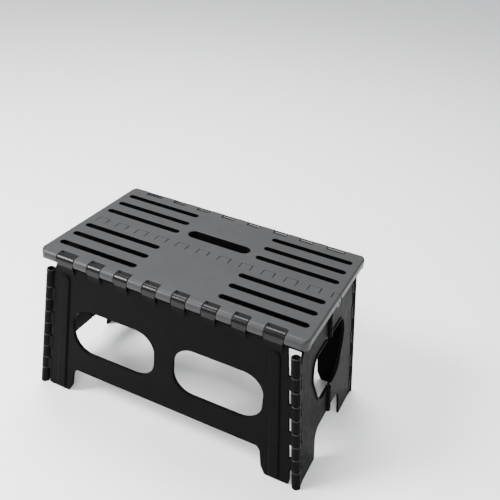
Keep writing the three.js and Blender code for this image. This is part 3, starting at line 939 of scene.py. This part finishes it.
def grain_bump(tree, shader, layers):
    """Chain bump nodes, each from a noise with a strength and a depth in metres."""
    normal = None
    for scale, detail, strength, depth in layers:
        bump = tree.nodes.new("ShaderNodeBump")
        bump.inputs["Strength"].default_value = strength
        bump.inputs["Distance"].default_value = depth
        tree.links.new(noise(tree, scale, detail), bump.inputs["Height"])
        if normal:
            tree.links.new(normal, bump.inputs["Normal"])
        normal = bump.outputs["Normal"]
    tree.links.new(normal, shader.inputs["Normal"])


def moulded_plastic(name, colour, spread, rough, layers, specular):
    """Make a moulded plastic with uneven colour and gloss and a fine grain."""
    material, shader = new_material(name)
    tree = material.node_tree
    shader.inputs["IOR"].default_value = 1.5
    shader.inputs["Specular IOR Level"].default_value = specular
    mottle = noise(tree, 34.0, 5.0, 0.6)
    tones = [(0.3, shade(colour, 1 - spread)),
             (0.52, shade(colour, 1)),
             (0.74, shade(colour, 1 + spread))]
    tree.links.new(ramp(tree, mottle, tones), shader.inputs["Base Color"])
    gloss = noise(tree, 90.0, 6.0, 0.65)
    finish = [(0.3, grey_level(rough[0])), (0.7, grey_level(rough[1]))]
    tree.links.new(ramp(tree, gloss, finish), shader.inputs["Roughness"])
    grain_bump(tree, shader, layers)
    return material


# Relief of each finish, in layers: the noise's scale and detail, strength, and depth in metres.
TOP_GRAIN = [(2600.0, 3.0, 0.22, 0.00012), (240.0, 4.0, 0.06, 0.0004)]
LEG_GRAIN = [(2200.0, 3.0, 0.2, 0.00012), (160.0, 4.0, 0.05, 0.0005)]
KNUCKLE_GRAIN = [(1800.0, 3.0, 0.1, 0.0001), (160.0, 4.0, 0.05, 0.0005)]
ROD_GRAIN = [(1500.0, 2.0, 0.08, 0.0001)]


class STOOL_OT_plastics(bpy.types.Operator):
    """Make the stool's plastics and give the hinge rods theirs"""

    bl_idname = "stool.plastics"
    bl_label = "Plastics"

    def execute(self, context):
        colours = context.scene.stool_colours
        moulded_plastic("Top grey plastic", colours.grey, spread=0.07, rough=(0.36, 0.48),
                        layers=TOP_GRAIN, specular=0.12)
        moulded_plastic("Leg black plastic", colours.black, spread=0.12, rough=(0.34, 0.46),
                        layers=LEG_GRAIN, specular=0.015)
        # Painted shade: near-black for the wells inside the slots.
        moulded_plastic("Slot painted shade black plastic", colours.slot, spread=0.1, rough=(0.5, 0.6),
                        layers=LEG_GRAIN[:1], specular=0.02)
        moulded_plastic("Knuckle black plastic", colours.black, spread=0.1, rough=(0.2, 0.3),
                        layers=KNUCKLE_GRAIN, specular=0.16)
        # Painted highlight: lighter black on the column knuckles' rims.
        moulded_plastic("Rim highlight black plastic", colours.rim_highlight, spread=0.15, rough=(0.3, 0.4),
                        layers=KNUCKLE_GRAIN[:1], specular=0.3)
        rod = moulded_plastic("Rod black plastic", colours.rod, spread=0.1, rough=(0.25, 0.38),
                              layers=ROD_GRAIN, specular=0.5)
        for obj in frame["nodes"].values():
            if obj.name.endswith(("_rod", "_pin")):
                for material_slot in obj.material_slots:
                    material_slot.link = "OBJECT"
                    material_slot.material = rod
        return {"FINISHED"}


class STOOL_OT_top(bpy.types.Operator):
    """Model the two slotted halves of the top"""

    bl_idname = "stool.top"
    bl_label = "Top halves"

    def execute(self, context):
        build_top_half("slotted_top_front", "top_front", "front_top", True)
        build_top_half("slotted_top_rear", "top_rear", "rear_top", False)
        return {"FINISHED"}


class STOOL_OT_shade_linings(bpy.types.Operator):
    """Model the near-black wells inside the top's slots, painted shade in their depths"""

    bl_idname = "stool.linings"
    bl_label = "Slot shade linings"

    def execute(self, context):
        for side_name, side in SIDES.items():
            add_slot_shade_linings(f"{side_name}_slot_shade_linings", f"{side_name}_top", side)
        return {"FINISHED"}


class STOOL_OT_panels(bpy.types.Operator):
    """Model the front and rear panels"""

    bl_idname = "stool.panels"
    bl_label = "Side panels"

    def execute(self, context):
        for side_name, side in SIDES.items():
            body = f"{side_name}_side"
            build_panel(f"{body}_moulding", f"{side_name}_panel", body, side)
        return {"FINISHED"}


class STOOL_OT_leaves(bpy.types.Operator):
    """Model the four leaves of the folding ends"""

    bl_idname = "stool.leaves"
    bl_label = "End leaves"

    def execute(self, context):
        for end_name, end in ENDS.items():
            for side_name, side in SIDES.items():
                place = f"{end_name}_{side_name}"
                body = f"{place}_wing"
                build_leaf(f"{body}_moulding", f"{place}_leaf", body, end, side)
        return {"FINISHED"}


# ---- stage -----------------------------------------------------------------------------------

CAMERA_PLACE = Vector((0.3708, -0.7411, 0.7450))
CAMERA_LENS = 48.98
CAMERA_AZIMUTH = math.radians(22.47)
CAMERA_DROP = math.radians(30.54)
CAMERA_ROLL = math.radians(5.7)
SENSOR_WIDTH = 36
FLOOR_SIZE = 14
SKY_COLOUR = (0.95, 0.97, 1.0, 1.0)
SKY_STRENGTH = 0.85

# Each lamp's name, place, aim, width in metres and power in watts.
LAMPS = (
    ("key_lamp", (-1.0, -0.9, 1.5), (0, 0, 0.15), 0.7, 80),
    ("fill_lamp", (0.7, -1.9, 1.6), (0, 0, 0.12), 1.0, 30),
    ("rim_lamp", (-0.5, 0.7, 2.3), (0, 0, 0.2), 1.2, 80),
)


def add_camera():
    """Add the camera at the height and turn of a standing viewer."""
    camera = bpy.data.objects.new("camera", bpy.data.cameras.new("camera"))
    bpy.context.scene.collection.objects.link(camera)
    camera.data.lens = CAMERA_LENS
    camera.data.sensor_width = SENSOR_WIDTH
    ahead = Vector((-math.sin(CAMERA_AZIMUTH) * math.cos(CAMERA_DROP),
                    math.cos(CAMERA_AZIMUTH) * math.cos(CAMERA_DROP),
                    -math.sin(CAMERA_DROP)))
    level = ahead.cross(Vector((0, 0, 1))).normalized()
    upright = level.cross(ahead)
    right = level * math.cos(CAMERA_ROLL) + upright * math.sin(CAMERA_ROLL)
    up = right.cross(ahead)
    turn = axes(right, up, -ahead)
    camera.matrix_world = Matrix.Translation(CAMERA_PLACE) @ turn
    bpy.context.scene.camera = camera


def add_light(name, place, aim, size, power):
    """Add a large soft lamp that points at a place."""
    lamp = bpy.data.lights.new(name, "AREA")
    lamp.shape = "DISK"
    lamp.size = size
    lamp.energy = power
    obj = bpy.data.objects.new(name, lamp)
    bpy.context.scene.collection.objects.link(obj)
    obj.location = place
    obj.rotation_euler = (Vector(aim) - Vector(place)).to_track_quat("-Z", "Y").to_euler()


class STOOL_OT_studio(bpy.types.Operator):
    """Add the floor, the lamps and the camera"""

    bl_idname = "stool.studio"
    bl_label = "Studio"

    def execute(self, context):
        bpy.ops.object.select_all(action="DESELECT")
        bpy.ops.mesh.primitive_plane_add(size=FLOOR_SIZE, location=(0, 0, 0))
        floor = context.active_object
        floor.name = "studio_floor"
        material, shader = new_material("Studio floor")
        shader.inputs["Base Color"].default_value = tuple(context.scene.stool_colours.floor) + (1.0,)
        shader.inputs["Roughness"].default_value = 0.9
        floor.data.materials.append(material)
        world = context.scene.world or bpy.data.worlds.new("Studio")
        context.scene.world = world
        world.use_nodes = True
        background = world.node_tree.nodes["Background"]
        background.inputs["Color"].default_value = SKY_COLOUR
        background.inputs["Strength"].default_value = SKY_STRENGTH
        for lamp in LAMPS:
            add_light(*lamp)
        add_camera()
        return {"FINISHED"}


class STOOL_PT_panel(bpy.types.Panel):
    """Lists the steps that build the stool"""

    bl_label = "Step Stool"
    bl_idname = "STOOL_PT_panel"
    bl_space_type = "VIEW_3D"
    bl_region_type = "UI"
    bl_category = "Step Stool"

    def draw(self, context):
        for step in STEPS:
            self.layout.operator(step.bl_idname)
        for group in (context.scene.stool_sizes, context.scene.stool_colours):
            box = self.layout.box()
            for name in group.bl_rna.properties.keys():
                if name not in {"rna_type", "name"}:
                    box.prop(group, name)


STEPS = (STOOL_OT_plastics, STOOL_OT_top, STOOL_OT_shade_linings, STOOL_OT_panels, STOOL_OT_leaves,
         STOOL_OT_studio)
CLASSES = (StoolSizes, StoolColours) + STEPS + (STOOL_PT_panel,)


def register():
    """Register the classes and their settings."""
    for cls in CLASSES:
        bpy.utils.register_class(cls)
    bpy.types.Scene.stool_sizes = PointerProperty(type=StoolSizes)
    bpy.types.Scene.stool_colours = PointerProperty(type=StoolColours)


def unregister():
    """Remove the classes and their settings."""
    del bpy.types.Scene.stool_colours
    del bpy.types.Scene.stool_sizes
    for cls in reversed(CLASSES):
        bpy.utils.unregister_class(cls)


def main():
    """Build the stool and its studio."""
    register()
    bpy.ops.stool.plastics()
    bpy.ops.stool.top()
    bpy.ops.stool.linings()
    bpy.ops.stool.panels()
    bpy.ops.stool.leaves()
    bpy.ops.stool.studio()


if __name__ == "__main__":
    main()
